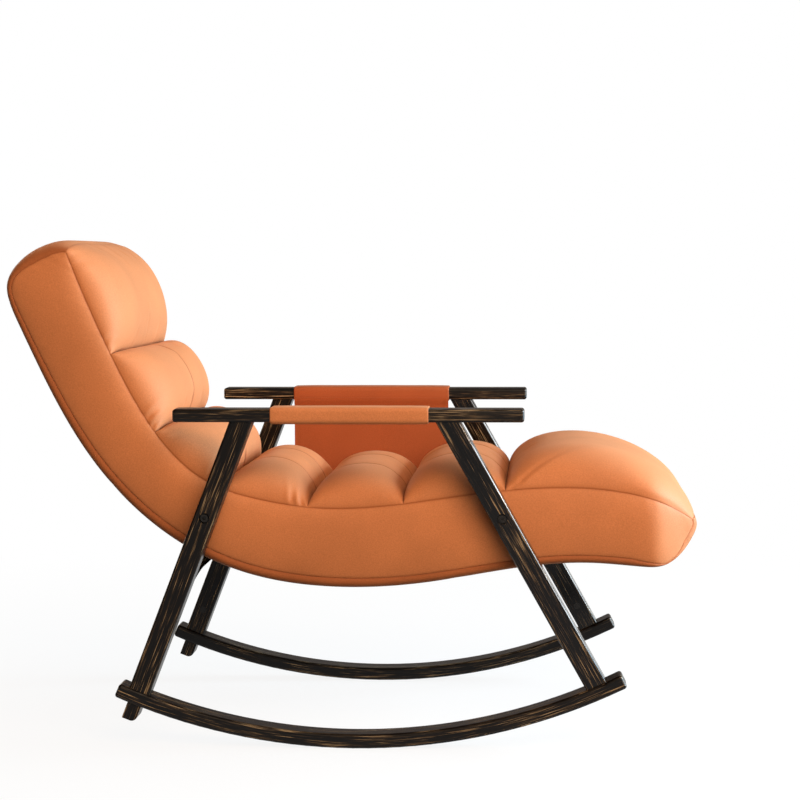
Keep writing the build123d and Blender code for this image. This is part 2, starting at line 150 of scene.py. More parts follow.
def on_line(line, share):
    """Places and left-hand normals at shares of a line's length, in X and Z. The normal is the direction
    turned by a quarter: (-Z part, X part)."""
    at = np.linspace(0.0, 1.0, len(line))
    slope = np.gradient(line, axis=0)
    place, way = [np.stack([np.interp(share, at, a[:, i]) for i in range(2)], -1) for a in (line, slope)]
    way = way / np.linalg.norm(way, axis=-1, keepdims=True)
    return place, np.stack([-way[..., 1], way[..., 0]], -1)


print("lines have", line_points, "points each")

# %% [markdown]
# ## The lines of the seat
# The upper seam runs from the head end down the back and along the seat to the front end. The outer line
# starts beside it, goes over the head end, down the back and along the underside, and ends at the nose.
# The welt keeps inside of it: 12 to 18 mm along the back and the underside, about 25 mm at the head end,
# where the cover is a soft round, 3 mm at the lower front corner and up to 10 mm at the nose. The seam
# starts and ends where the welt does, so the side panel is a long leaf.

# %% Seam, outer line and welt
mm = 0.001
seat_half = 261.7 * mm
outer_line = even_line(np.array([
    (-477, 845), (-487, 848), (-500, 849.5), (-515, 848), (-532, 842.5), (-550, 833), (-569, 816),
    (-582, 797), (-588, 776), (-584, 750), (-566, 707), (-525, 620), (-444.5, 481), (-341, 370.5),
    (-198.5, 290.5), (-35, 261.5), (128, 269.5), (300, 297.5), (412, 303.5), (495, 297.3), (531, 299),
    (560, 317), (578.5, 342.5), (586, 366), (583, 376),
]) * mm)
welt_inset = np.array([
    (0.0, 15), (0.012, 20), (0.03, 25), (0.048, 25), (0.065, 19.5), (0.08, 14.5), (0.1, 12), (0.15, 13),
    (0.22, 16), (0.4, 17.5), (0.55, 17.5), (0.75, 15), (0.90, 13.5), (0.925, 8.5), (0.94, 3), (0.952, 4),
    (0.97, 10), (0.985, 10), (1.0, 6),
])


def welt_at(share):
    """Welt = outer line + inward normal x inset, with the inset in mm from the table above."""
    place, into = on_line(outer_line, share)
    return place + into * np.interp(share, welt_inset[:, 0], welt_inset[:, 1] * mm)[:, None]


welt_line = welt_at(np.linspace(0.0, 1.0, line_points))
seam_line = even_line(np.concatenate([welt_line[:1], np.array([
    (-450, 752), (-409, 661.5), (-340, 536), (-250, 445), (-154, 411), (-35, 396),
    (89, 404), (203, 420), (338, 432), (457, 425), (530, 404),
]) * mm, welt_line[-1:]]))
seam_length, outer_length = [travel(line)[-1] for line in (seam_line, outer_line)]
print("seam %.3f m, outer line %.3f m" % (seam_length, outer_length))

# %% [markdown]
# ## From grids to meshes
# Each soft piece is a surface over two parameters, so it comes as an array of rows and columns of points.
# Such a surface could be modelled by hand, but a grid of points turns straight into a grid of quads. A
# pad is closed: its upper grid and its lower grid share their border, or a wall joins them. Where a grid
# shrinks to a point or a line, points that fall together are merged.

# %% Grid meshes
merge_within, flat_within, smooth_within = 2e-5, 1e-5, radians(38.0)


def grid_faces(rows, columns, first=0):
    """Quads of a grid: each one joins a point to its neighbours in the next column and row."""
    k = first + np.arange(rows * columns).reshape(rows, columns)
    return np.stack([k[:-1, :-1], k[:-1, 1:], k[1:, 1:], k[1:, :-1]], -1).reshape(-1, 4)


def border(rows, columns):
    """Indices round the border of a grid, in order."""
    k = np.arange(rows * columns).reshape(rows, columns)
    return np.concatenate([k[0, :-1], k[:-1, -1], k[-1, :0:-1], k[:0:-1, 0]])


def make_piece(name, points, faces, material, seam_lines_and_shade):
    """Mesh object from arrays: doubles merged, flat faces dropped, normals outwards, smooth up to an
    angle."""
    mesh = bpy.data.meshes.new(name)
    mesh.from_pydata(points.reshape(-1, 3), [], faces.tolist())
    layer = mesh.attributes.new("seam_lines_and_shade", "FLOAT", "POINT")
    layer.data.foreach_set("value", seam_lines_and_shade.astype(np.float32).ravel())
    work = bmesh.new()
    work.from_mesh(mesh)
    bmesh.ops.remove_doubles(work, verts=work.verts, dist=merge_within)
    bmesh.ops.dissolve_degenerate(work, edges=work.edges, dist=flat_within)
    bmesh.ops.recalc_face_normals(work, faces=work.faces)
    open_edges = sum(1 for edge in work.edges if not edge.is_manifold)
    work.to_mesh(mesh)
    work.free()
    mesh.shade_smooth()
    mesh.set_sharp_from_angle(angle=smooth_within)
    mesh.materials.append(material)
    print(f"{name}: {len(mesh.polygons)} faces, {open_edges} open edges")
    return add_object(name, mesh)


def make_pad(name, top, bottom, material, seam_lines_and_shade):
    """Closed pad from an upper and a lower grid of the same shape, with a wall between their borders."""
    rows, columns = top.shape[:2]
    count = rows * columns
    ring = border(rows, columns)
    after = np.roll(ring, -1)
    wall = np.stack([ring, after, after + count, ring + count], 1)
    faces = np.concatenate([grid_faces(rows, columns), grid_faces(rows, columns, count)[:, ::-1], wall])
    points = np.concatenate([top.reshape(-1, 3), bottom.reshape(-1, 3)])
    # Painted shade: the lower grid, mostly hidden inside, gets the full darkening.
    return make_piece(name, points, faces, material, np.concatenate([seam_lines_and_shade.ravel(), np.ones(count)]))


def share_border(top, bottom):
    """The lower grid, with the border of the upper one."""
    bottom[[0, -1]] = top[[0, -1]]
    bottom[:, [0, -1]] = top[:, [0, -1]]
    return bottom


print("points closer than", merge_within / mm, "mm are merged")

# %% [markdown]
# ## Shader nodes in a few words
# A material is a small graph of nodes. It could be clicked together in the shader editor. The helpers
# below add a node, set its plain values and link its inputs, so that each material reads like a recipe.
# All patterns use Object coordinates, which are metres on the real chair.

# %% Node helpers
def connect(tree, target, values=None, links=None):
    """Plain values and links for the input sockets of a node."""
    for key, value in (values or {}).items():
        target.inputs[key].default_value = value
    for key, socket in (links or {}).items():
        tree.links.new(socket, target.inputs[key])


def node(tree, kind, values=None, links=None, **settings):
    """New shader node with its settings, plain socket values and links from other nodes' sockets."""
    new = tree.nodes.new(kind)
    for key, value in settings.items():
        setattr(new, key, value)
    connect(tree, new, values, links)
    return new


def calc(tree, operation, *terms):
    """Result of a math node. Each term is a plain number or a socket."""
    plain = {i: term for i, term in enumerate(terms) if isinstance(term, float)}
    linked = {i: term for i, term in enumerate(terms) if i not in plain}
    return node(tree, "ShaderNodeMath", plain, linked, operation=operation).outputs[0]


def ranged(tree, value, low, high, start=0.0, end=1.0):
    """Result of a range node: a value from start to end becomes one from low to high."""
    values = {"From Min": start, "From Max": end, "To Min": low, "To Max": high}
    return node(tree, "ShaderNodeMapRange", values, {"Value": value}).outputs["Result"]


def mapped(tree, vector, values):
    """Coordinates turned or stretched by a mapping node."""
    return node(tree, "ShaderNodeMapping", values, {"Vector": vector}).outputs["Vector"]


def noise(tree, vector, scale, detail, rough=0.5):
    """Value of a noise node, from 0 to 1."""
    values = {"Scale": scale, "Detail": detail, "Roughness": rough}
    return node(tree, "ShaderNodeTexNoise", values, {"Vector": vector}).outputs["Fac"]


def bumped(tree, height, strength, depth):
    """Normal of a bump node."""
    values = {"Strength": strength, "Distance": depth}
    return node(tree, "ShaderNodeBump", values, {"Height": height}).outputs["Normal"]


def ramp(tree, factor, stops):
    """Colour ramp through (position, colour) stops."""
    new = node(tree, "ShaderNodeValToRGB", links={"Fac": factor})
    bar = new.color_ramp
    while len(bar.elements) < len(stops):
        bar.elements.new(1.0)
    for element, (position, colour) in zip(bar.elements, stops):
        element.position = position
        element.color = (*colour, 1.0)
    return new.outputs["Color"]


def new_material(name):
    """Node material, its tree, its Principled shader and its Object coordinates."""
    material = bpy.data.materials.new(name)
    material.use_nodes = True
    tree = material.node_tree
    return material, tree, tree.nodes["Principled BSDF"], node(tree, "ShaderNodeTexCoord").outputs["Object"]


def cover_node(node_name, material):
    """Gives a CAD node one material in place of what it had."""
    nodes[node_name].data.materials.clear()
    nodes[node_name].data.materials.append(material)


print("helpers for shader nodes are ready")

# %% [markdown]
# ## Dark stained wood
# The frame is a wood with open pores, stained almost black, with fine golden streaks along the grain and
# a satin lacquer. A photograph of wood could be laid on, but streaks are noise that is stretched along
# the grain: about 65 mm long and 1.6 mm wide. The grain follows each member, so the coordinates are
# turned by the member's lean. A rocker is bent, so its coordinates are polar: the angle round the centre
# of the arc gives the distance along the grain. The front legs have the smoothest lacquer, and the
# stretcher under the seat has none.

# %% Wood
rocker_centre = (0.014, 1.020)


def grain_round(tree, coords):
    """Polar coordinates round the rockers' centre: X is the angle in radians, about metres on the arc, and
    Z is the radius."""
    parts = node(tree, "ShaderNodeSeparateXYZ", links={"Vector": coords})
    ahead = calc(tree, "SUBTRACT", parts.outputs["X"], rocker_centre[0])
    down = calc(tree, "SUBTRACT", rocker_centre[1], parts.outputs["Z"])
    angle = calc(tree, "ARCTAN2", ahead, down)
    flat = node(tree, "ShaderNodeCombineXYZ", links={"X": ahead, "Z": down})
    radius = node(tree, "ShaderNodeVectorMath", links={0: flat.outputs["Vector"]}, operation="LENGTH")
    links = {"X": angle, "Y": parts.outputs["Y"], "Z": radius.outputs["Value"]}
    return node(tree, "ShaderNodeCombineXYZ", links=links).outputs["Vector"]


def stained_wood(name, turn=None, lacquer=0.16, gloss=(0.24, 0.44)):
    """Near-black wood: fine streaks of noise stretched along the grain, broken up by wider bands. The turn
    brings X along a straight member; without one, the grain goes round with the rockers."""
    material, tree, shader, coords = new_material(name)
    grain = grain_round(tree, coords) if turn is None else mapped(tree, coords, {"Rotation": turn})
    pores = noise(tree, mapped(tree, grain, {"Scale": (15.0, 620.0, 620.0)}), 1.0, 3.0, 0.6)
    bands = noise(tree, mapped(tree, grain, {"Scale": (8.0, 130.0, 130.0)}), 1.0, 2.0)
    mixed = calc(tree, "MULTIPLY_ADD", bands, 0.30, pores)
    colour = ramp(tree, mixed, [
        (0.56, (0.0018, 0.0012, 0.0009)), (0.695, (0.0050, 0.0033, 0.0024)),
        (0.76, (0.060, 0.040, 0.022)), (0.87, (0.36, 0.26, 0.15)),
    ])
    rough, normal = ranged(tree, pores, *gloss), bumped(tree, mixed, 0.35, 0.0006)
    links = {"Base Color": colour, "Roughness": rough, "Normal": normal}
    connect(tree, shader, {"Specular IOR Level": lacquer}, links)
    return material


rear_lean, front_lean = -21.0, 29.25
rail_wood = stained_wood("rail_wood", (0.0, 0.0, 0.0))
rear_leg_wood = stained_wood("rear_leg_wood", (0.0, radians(90.0 + rear_lean), 0.0), 0.14)
front_leg_wood = stained_wood("front_leg_wood", (0.0, radians(90.0 + front_lean), 0.0), 0.18, (0.10, 0.22))
rocker_wood = stained_wood("rocker_wood")
stretcher_wood = stained_wood("stretcher_wood", (0.0, 0.0, pi / 2), 0.0)
members = {"arm_rail_": rail_wood, "rear_leg_": rear_leg_wood, "front_leg_": front_leg_wood,
           "rocker_": rocker_wood, "stop_block_": rear_leg_wood}
for start, material in members.items():
    cover_node(start + "left", material)
    cover_node(start + "right", material)
cover_node("rear_stretcher", stretcher_wood)
print("wood on", 2 * len(members) + 1, "members, grain along each of them")

# %% [markdown]
# ## Coated fabric
# The cover is a matte coated fabric in a warm orange, with a fine pebbled grain and a soft sheen where
# light grazes it. One flat colour would look like plastic. So large soft clouds of noise vary it, a fine
# noise makes the grain, and an attribute that the pieces carry adds thin dark lines along the seams and
# the welt, and painted shade in the valleys, over the stitched lines, in a band along the welt and on
# the hidden insides. The pouch and the left sleeve get a darker copy of the arm fabric: painted shade,
# as the far arm lies in shade.

# %% Fabric
def multiplied(tree, first, second):
    """Colour socket with the product of two colours."""
    mix = node(tree, "ShaderNodeMix", {"Factor": 1.0}, {"A": first, "B": second},
               data_type="RGBA", blend_type="MULTIPLY")
    return mix.outputs["Result"]


def coated_fabric(name, colour, sheen):
    """Matte fabric: base colour x clouds x specks x dark seam lines and painted shade, with a fine grain as
    bump.
    """
    material, tree, shader, coords = new_material(name)
    clouds, pebble = noise(tree, coords, 7.0, 3.0), noise(tree, coords, 520.0, 3.0, 0.55)
    dark = tuple(c * 0.90 for c in colour)
    light = tuple(min(1.0, c * 1.08) for c in colour)
    tone = ramp(tree, clouds, [(0.30, dark), (0.70, light)])
    speck = ramp(tree, pebble, [(0.35, (0.90, 0.90, 0.90)), (0.65, (1.06, 1.06, 1.06))])
    near = node(tree, "ShaderNodeAttribute", attribute_name="seam_lines_and_shade").outputs["Fac"]
    # Painted shade: at full strength the attribute darkens the colour down to 0.60, 0.50, 0.44 of it.
    shade = ramp(tree, near, [(0.0, (1.0, 1.0, 1.0)), (1.0, (0.60, 0.50, 0.44))])
    shown = multiplied(tree, multiplied(tree, tone, speck), shade)
    values = {"Roughness": 0.6, "Specular IOR Level": 0.07, "Sheen Weight": sheen, "Sheen Roughness": 0.5,
              "Sheen Tint": (1.0, 0.64, 0.38, 1.0)}
    connect(tree, shader, values, {"Base Color": shown, "Normal": bumped(tree, pebble, 0.16, 0.0008)})
    return material


seat_fabric = coated_fabric("seat_fabric", (0.562, 0.203, 0.080), 0.12)
arm_fabric = coated_fabric("arm_fabric", (0.562, 0.208, 0.084), 0.12)
# Painted shade: the pouch and the left sleeve get this darker copy of the arm fabric, as the far arm lies
# in shade.
shaded_arm_fabric = coated_fabric("shaded_arm_fabric", (0.390, 0.095, 0.032), 0.08)
print("fabrics:", seat_fabric.name, arm_fabric.name, shaded_arm_fabric.name)

# %% [markdown]
# ## Cushion rolls
# Seven stuffed rolls lie across the seat, sewn down between each other and along both sides. A roll could
# be a cylinder, but a real one is a tight skin over foam. Its section is an arch on the seam line: half
# an ellipse that a power makes fuller or leaner and a skew leans to one side. It ends at each side of the
# seat in a steep round, and the stitched valleys between the rolls lie about 3 mm above the side seams.
# So the upper skin is a function of two parameters: the turn along the arch, and the place across the
# seat.

# %% Width of the seat and ends of a roll
valley_rise = 3 * mm
end_arch, end_belly = 125 * mm, 3 * mm
seam_inset = 10 * mm
nose_corner, nose_slope, nose_soft = 518 * mm, 0.9, 8 * mm
bow, bow_start, bow_length = 6 * mm, 500 * mm, 80 * mm


def smooth_step(share):
    """Soft step: 3 x share^2 - 2 x share^3, with the share kept from 0 to 1."""
    share = np.clip(share, 0.0, 1.0)
    return 3.0 * share**2 - 2.0 * share**3


def fading(distance, reach):
    """What is left at a distance: exp(-distance / reach)."""
    return np.exp(-distance / reach)


def plan_share(x):
    """Width of the seat at X as a share of its full width. Past the corner it gets narrower along a slope,
    and the turn into that slope is soft: slope x soft x log(1 + exp((X - corner) / soft))."""
    return 1.0 - nose_slope * nose_soft / seat_half * np.log1p(np.exp((x - nose_corner) / nose_soft))


def front_bow(x, y):
    """Forward bulge of the front end: X + bow x (1 - (Y / half)^2), with a soft start."""
    fade = smooth_step((x - bow_start) / bow_length)
    return x + bow * (1.0 - np.clip(y / seat_half, -1.0, 1.0) ** 2) * fade


def end_curve(steps, arch):
    """Round end with u from 0 at the seam to 1: Y = half - inset - arch x u + belly x sin(pi x root of u)
    x (1 - u), and share of the height = root of 1 - (1 - u)^2.5, upright at the seam and flat further
    in."""
    u = np.linspace(0.0, 1.0, steps) ** 2
    y = seat_half - seam_inset - arch * u + end_belly * np.sin(pi * np.sqrt(u)) * (1.0 - u)
    return u, y, np.sqrt(1.0 - (1.0 - u) ** 2.5)


def across_roll(end_steps, middle_steps, lanes=()):
    """Y and share of the height across a roll: a round end, the middle at full height, the other round
    end. Lanes are more places in the middle, where stitched lines need them."""
    y_end, share = end_curve(end_steps, end_arch)[1:]
    middle = np.unique(np.concatenate([np.linspace(-y_end[-1], y_end[-1], middle_steps), *lanes]))
    y = np.concatenate([-y_end[:-1], middle, y_end[-2::-1]])
    return y, np.concatenate([share[:-1], np.ones(len(middle)), share[-2::-1]])


print("seat is", round(2 * seat_half, 3), "m wide")

# %% Skin of a roll
head_dome, head_reach, head_out = 2 * mm, 45 * mm, np.array([0.99, -0.05])
corner_reach = (90 * mm, 30 * mm)
corner_rise = [outer_line[0] + np.array([0.0, head_dome]) - seam_line[0], outer_line[-1] - seam_line[-1]]


def roll_skin(span, height, full, skew, turns, y, share):
    """Point = seam + share x (rise of the valley + normal x (height - rise) x arch^full). The place along
    the roll is w = (1 - cos turn) / 2, and the arch is 2 x root of (w' x (1 - w')) with w' = w^skew. At
    the head end the normal turns forward, and at both ends of the seat the valley's rise turns into the
    step from the seam to the outer line."""
    w = (1.0 - np.cos(turns)) / 2.0
    arch = 2.0 * np.sqrt(np.maximum(w**skew * (1.0 - w**skew), 0.0))
    t = span[0] + (span[1] - span[0]) * w
    place, normal = on_line(seam_line, t)
    if span[0] == 0.0:
        over = fading(t * seam_length, head_reach)[:, None]
        normal = normal * (1.0 - over) + head_out * over
        normal = normal / np.linalg.norm(normal, axis=1, keepdims=True)
    rise = normal * valley_rise
    for corner, end in enumerate((0.0, 1.0)):
        if span[corner] == end:
            pull = fading(np.abs(t - end) * seam_length, corner_reach[corner])[:, None]
            rise = rise * (1.0 - pull) + corner_rise[corner] * pull
    crown = rise + normal * ((height - valley_rise) * arch**full)[:, None]
    flat = place[:, None, :] + share[None, :, None] * crown[:, None, :]
    width = y[None, :] * plan_share(flat[..., 0])
    return np.stack([front_bow(flat[..., 0], width), width, flat[..., 1]], -1), t


print("corners rise by", np.round(corner_rise, 3).tolist(), "m")

# %% [markdown]
# ## Letting a roll swell
# Foam pushes the fabric out and the stitches hold it back, and that gives the small pulls and folds
# beside a seam. They could be sculpted, but Blender's cloth does it: a coarse copy of the skin is pinned
# along its seams, made a little too large, and blown up for some frames. Only how far each point moved is
# kept. It is limited, then carried over to the fine skin with the same splines that draw the lines.

# %% Cloth
swell_pressure, swell_slack, swell_most, swell_frames = 2.5, 0.005, 3 * mm, 20
coarse_steps = (7, 22)


def swell(points, pinned):
    """Moves of a grid of points after Blender's cloth has blown it up with its pinned points held."""
    rows, columns = points.shape[:2]
    mesh = bpy.data.meshes.new("swelling")
    mesh.from_pydata(points.reshape(-1, 3), [], grid_faces(rows, columns)[:, ::-1].tolist())
    work = add_object("swelling", mesh)
    held = work.vertex_groups.new(name="held")
    held.add(np.flatnonzero(pinned.ravel()).tolist(), 1.0, "REPLACE")
    cloth = work.modifiers.new("cloth", "CLOTH")
    settings = cloth.settings
    settings.quality = 6
    settings.mass = 0.25
    settings.tension_stiffness = settings.compression_stiffness = 12.0
    settings.shear_stiffness = 4.0
    settings.bending_stiffness = 2.0
    settings.air_damping = 3.0
    settings.use_pressure = True
    settings.uniform_pressure_force = swell_pressure
    settings.shrink_min = settings.shrink_max = -swell_slack
    settings.vertex_group_mass = "held"
    settings.effector_weights.gravity = 0.0
    cloth.collision_settings.use_collision = False
    cloth.point_cache.frame_start, cloth.point_cache.frame_end = 1, swell_frames
    for number in range(1, swell_frames + 1):
        bpy.context.scene.frame_set(number)
    after = np.empty(rows * columns * 3, np.float32)
    shown = work.evaluated_get(bpy.context.evaluated_depsgraph_get())
    shown.data.vertices.foreach_get("co", after)
    bpy.data.objects.remove(work)
    bpy.data.meshes.remove(mesh)
    bpy.context.scene.frame_set(1)
    return after.reshape(points.shape) - points


def limited(moves, most):
    """Moves cut to a length: long ones approach the limit as limit x tanh(length / limit)."""
    length = np.linalg.norm(moves, axis=-1, keepdims=True) + 1e-9
    return moves * most * np.tanh(length / most) / length


def refined(moves, rows_at, columns_at, rows_new, columns_new):
    """Moves of a coarse grid at the rows and columns of a fine one, by splines first down and then
    across."""
    down = spline(rows_at, moves.reshape(len(rows_at), -1), rows_new)
    turned = down.reshape(len(rows_new), len(columns_at), 3).transpose(1, 0, 2)
    across = spline(columns_at, turned.reshape(len(columns_at), -1), columns_new)
    return across.reshape(len(columns_new), len(rows_new), 3).transpose(1, 0, 2)


def swelling(form, length, turns, y):
    """Moves of a roll's fine skin: those of a coarse copy, pinned all round, then limited and refined."""
    turns_coarse = np.linspace(0.0, pi, int(10 + 0.03 * length / mm))
    y_coarse, share_coarse = across_roll(*coarse_steps)
    coarse = roll_skin(*form, turns_coarse, y_coarse, share_coarse)[0]
    pinned = np.ones(coarse.shape[:2], bool)
    pinned[1:-1, 1:-1] = False
    moves = limited(swell(coarse, pinned), swell_most)
    columns = np.arange(len(y_coarse))
    return refined(moves, turns_coarse, columns, turns, np.interp(y, y_coarse, columns))


print("cloth runs for", swell_frames, "frames on each roll")

# %% [markdown]
# ## Seams and small folds
# The lumbar and the lower back roll have one stitched line in the middle, the three seat rolls two, a
# third of the width apart. A stitched line is a narrow groove in a wider soft dip. Beside the side seams
# and the valleys the fabric puckers: waves of uneven length that fade away from the stitches. Short folds
# start beside the corners, and one long crease leaves each rear corner of the leg roll at a slant. All
# this could be sculpted, but formulas are easier to change: uneven waves are sums of sines with lengths
# and phases from a seeded generator, and a fold is a bell with a ridge beside it.

# %% Grooves, puckers and folds
stitch_groove = (2.2 * mm, 3.0 * mm, 1.8 * mm, 16 * mm)
side_pucker, side_waves = 0.4 * mm, (0.02, 0.06)
valley_pucker, valley_waves = 0.8 * mm, (0.05, 0.16)
fold_starts, fold_width, fold_peak = (10 * mm, 25 * mm), 4.6 * mm, 15 * mm
crease_slant, crease_width, crease_peak = 1.15, 9 * mm, 26 * mm


def uneven(along, seed, shortest, longest, count=7):
    """Sum of sine waves with random lengths and phases, about -1 to 1."""
    random = np.random.default_rng(seed)
    wave = 2.0 * pi / random.uniform(shortest, longest, count)
    phase = random.uniform(0.0, 2.0 * pi, count)
    return np.sin(along[..., None] * wave + phase).sum(-1) / np.sqrt(2.0 * count)


def bell(distance, width=1.0):
    """Bell of 1 in the middle: exp(-(distance / width)^2)."""
    return np.exp(-((distance / width) ** 2))


def hump(distance, peak):
    """0 at the start, 1 at the peak, then fading: distance / peak x exp(1 - distance / peak)."""
    return distance / peak * np.exp(1.0 - distance / peak)


def groove(distance, depth, width, dip, spread):
    """Stitched line: depth x bell of the width, plus dip x bell of the spread."""
    return depth * bell(distance, width) + dip * bell(distance, spread)


def pinches(along, to_side, most, seed):
    """Two folds beside the corner between a valley and a side seam. Each one starts on the seam, leans
    away from the valley as it goes inwards, is a bell across with a ridge beside it, and is deepest 15 mm
    from the seam."""
    random = np.random.default_rng(seed)
    depth = np.zeros(np.broadcast_shapes(along.shape, to_side.shape))
    for start in fold_starts:
        centre = start * random.uniform(0.9, 1.1) + 0.1 * to_side
        off = (along - centre) / (fold_width + 0.05 * to_side)
        section = bell(off) - 0.5 * bell(off - 1.6)
        depth = depth + random.uniform(0.6, 1.0) * most * section * hump(to_side, fold_peak)
    return depth


def crease(along, to_side, most):
    """One long soft fold that leaves the corner between a valley and a side seam at a slant: a bell across
    with a ridge beside it, deepest 26 mm from the seam."""
    off = (along - crease_slant * to_side) / crease_width
    return most * (bell(off) - 0.6 * bell(off - 1.7)) * hump(to_side, crease_peak)


def outward(grid):
    """Unit normals of a grid: the steps from row to row crossed with the steps from column to column."""
    normal = np.cross(np.gradient(grid, axis=0), np.gradient(grid, axis=1))
    return normal / (np.linalg.norm(normal, axis=-1, keepdims=True) + 1e-12)


def fold_depth(span, t, y, to_side, to_valley, folded, slant, seed):
    """Depth of the puckers along the side seams and the valleys, and of the folds at the four corners."""
    along = (t * seam_length)[:, None] + 0.0 * to_side
    side_wave = side_pucker * uneven(along, seed, *side_waves) * fading(to_side, 18 * mm)
    depth = side_wave * (1.0 - fading(to_side, 4 * mm))
    valley_wave = valley_pucker * uneven(y[None, :] + 0.15 * to_valley, seed + 50, *valley_waves)
    depth = depth + valley_wave * fading(to_valley, 14 * mm) * (1.0 - fading(to_valley, 3 * mm))
    for number, (end, side) in enumerate([(0, -1), (0, 1), (1, -1), (1, 1)]):
        from_valley = np.abs(t - span[end])[:, None] * seam_length
        here = (np.sign(y) == side)[None, :]
        depth = depth + pinches(from_valley, to_side, folded[end] * mm, 10 * seed + number) * here
        if end == 0:
            depth = depth + crease(from_valley, to_side, slant * mm) * here
    return depth


print("stitched lines are", round(groove(0.0, *stitch_groove) / mm, 1), "mm deep")

# %% [markdown]
# ## Making the rolls
# One function makes all seven rolls, because they differ only in the numbers of a small table. A roll is
# its swollen skin with grooves and folds pressed in along the surface's own normals, closed below by the
# surface between its seams.

# %% Make the seven rolls
fine_steps = (30, 100)
stitch_lane = np.linspace(-12 * mm, 12 * mm, 21)
# Columns: CAD node, length on the seam in mm, height in mm, power, skew, stitched lines as shares of the
# half width, depth of the folds at the rear and the front corners in mm, depth of the crease in mm
rolls = {
    "head_cushion": ("head_roll", 188, 52.5, 1.15, 0.95, [], (1.2, 1.4), 0.0),
    "lumbar_cushion": ("lumbar_roll", 151, 63, 0.8, 0.94, [0.0], (0.6, 3.4), 0.0),
    "lower_back_cushion": ("lower_back_roll", 148, 70, 0.6, 1.25, [0.0], (0.8, 1.6), 0.0),
    "rear_seat_cushion": ("seat_roll_rear", 152, 58, 1.1, 1.03, [-0.33, 0.33], (0.3, 4.0), 0.0),
    "middle_seat_cushion": ("seat_roll_middle", 162, 60, 0.85, 1.0, [-0.33, 0.33], (0.3, 1.0), 0.0),
    "front_seat_cushion": ("seat_roll_front", 174, 59, 0.85, 1.0, [-0.33, 0.33], (0.3, 1.2), 0.0),
    "leg_cushion": ("leg_roll", 326, 63.5, 1.5, 0.72, [], (0.9, 0.0), 2.2),
}


def make_roll(name, cad_node, form, grooves, folded, slant, seed):
    """One cushion roll: fine skin + swelling - grooves - folds, closed below by the seam surface."""
    span, height = form[:2]
    length = (span[1] - span[0]) * seam_length
    y, share = across_roll(*fine_steps, [place * seat_half + stitch_lane for place in grooves])
    turns = np.linspace(0.0, pi, int(40 + 0.15 * length / mm))
    skin, t = roll_skin(*form, turns, y, share)
    skin = skin + swelling(form, length, turns, y)
    across = travel(np.stack([y, share * height], 1))
    to_side = np.minimum(across, across[-1] - across)[None, :]
    to_valley = np.minimum(turns, pi - turns)[:, None] * (length / pi)
    depth = fold_depth(span, t, y, to_side, to_valley, folded, slant, seed)
    # Thin dark lines along the side seams; painted shade in the valleys and over the stitched lines.
    seam_lines_and_shade = np.maximum(fading(to_side, 1.5 * mm), 0.9 * fading(to_valley, 6 * mm))
    for place in grooves:
        lane = np.abs(y - place * seat_half)[None, :]
        depth = depth + groove(lane, *stitch_groove) * np.sin(turns)[:, None] ** 0.5
        seam_lines_and_shade = np.maximum(seam_lines_and_shade, 0.95 * bell(lane, 6 * mm))
    skin = skin - outward(skin) * depth[..., None]
    bottom = share_border(skin, roll_skin(*form, turns, y, share * 0.0)[0])
    piece = make_pad(name, skin, bottom, seat_fabric, seam_lines_and_shade)
    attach(piece, "chair")
    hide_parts(cad_node)


total = sum(size[1] for size in rolls.values())
done = 0
for number, (name, (cad_node, length, height, full, skew, *details)) in enumerate(rolls.items()):
    span = (done / total, (done + length) / total)
    make_roll(name, cad_node, (span, height * mm, full, skew), *details, 3 + number)
    done += length

# %% [markdown]
# ## Side panels
# A long leaf of the same fabric closes each side of the seat, between the seam and the welt. It is padded
# a little, so it is nearly flat with round edges that dip into the seams. A flat shape with bevelled
# edges would be too hard. So the surface is a straight line from the seam to the welt at each place along
# them, pushed out by a bulge that depends on the distances from both edges.

# %% Side panels
panel_puff, panel_lip, panel_thick = seam_inset + 1.5 * mm, 1.0 * mm, 14 * mm
line_width = 1.3 * mm


def nose_shade(s):
    """Strength of the dark line along the welt: 1, and from 0.93 to 0.96 of its length down to 0.25."""
    return 1.0 - 0.75 * np.clip((s - 0.93) / 0.03, 0.0, 1.0)[:, None]


def leaf_panel(side):
    """Point = seam + v x (welt - seam). Sideways it is pushed out by puff x (1 - exp(-distance from the
    seam / 24 mm)) x (1 - exp(-distance from the welt / 40 mm)), with a small lip of 1 mm at each edge."""
    s = (1.0 - np.cos(np.linspace(0.0, pi, 260))) / 2.0
    v = (1.0 - np.cos(np.linspace(0.0, pi, 44))) / 2.0
    seam, welt = on_line(seam_line, s)[0], on_line(welt_line, s)[0]
    flat = seam[:, None, :] + v[None, :, None] * (welt - seam)[:, None, :]
    wide = np.linalg.norm(welt - seam, axis=1)[:, None]
    above, below = v[None, :] * wide, (1.0 - v)[None, :] * wide
    edge = np.minimum(above, below)
    puff = panel_puff * (1.0 - fading(above, 24 * mm)) * (1.0 - fading(below, 40 * mm))
    puff = puff + panel_lip * (1.0 - fading(edge, 2 * mm))
    along = (s * seam_length)[:, None] + 0.0 * edge
    pucker = 0.5 * mm * uneven(along, 31 + side, 0.015, 0.05) * fading(edge, 14 * mm)
    y = seat_half - seam_inset + puff + pucker * (1.0 - fading(edge, 3 * mm))
    y = y * plan_share(flat[..., 0])
    top = np.stack([front_bow(flat[..., 0], y), side * y, flat[..., 1]], -1)
    bottom = share_border(top, top - np.array([0.0, side * panel_thick, 0.0]))
    return top, bottom, np.maximum(fading(above, line_width), nose_shade(s) * fading(below, line_width))


for name, side in (("left", 1), ("right", -1)):
    top, bottom, near = leaf_panel(side)
    panel = make_pad("side_panel_" + name, top, bottom, seat_fabric, near)
    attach(panel, "chair")
    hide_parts("side_boxing_" + name)

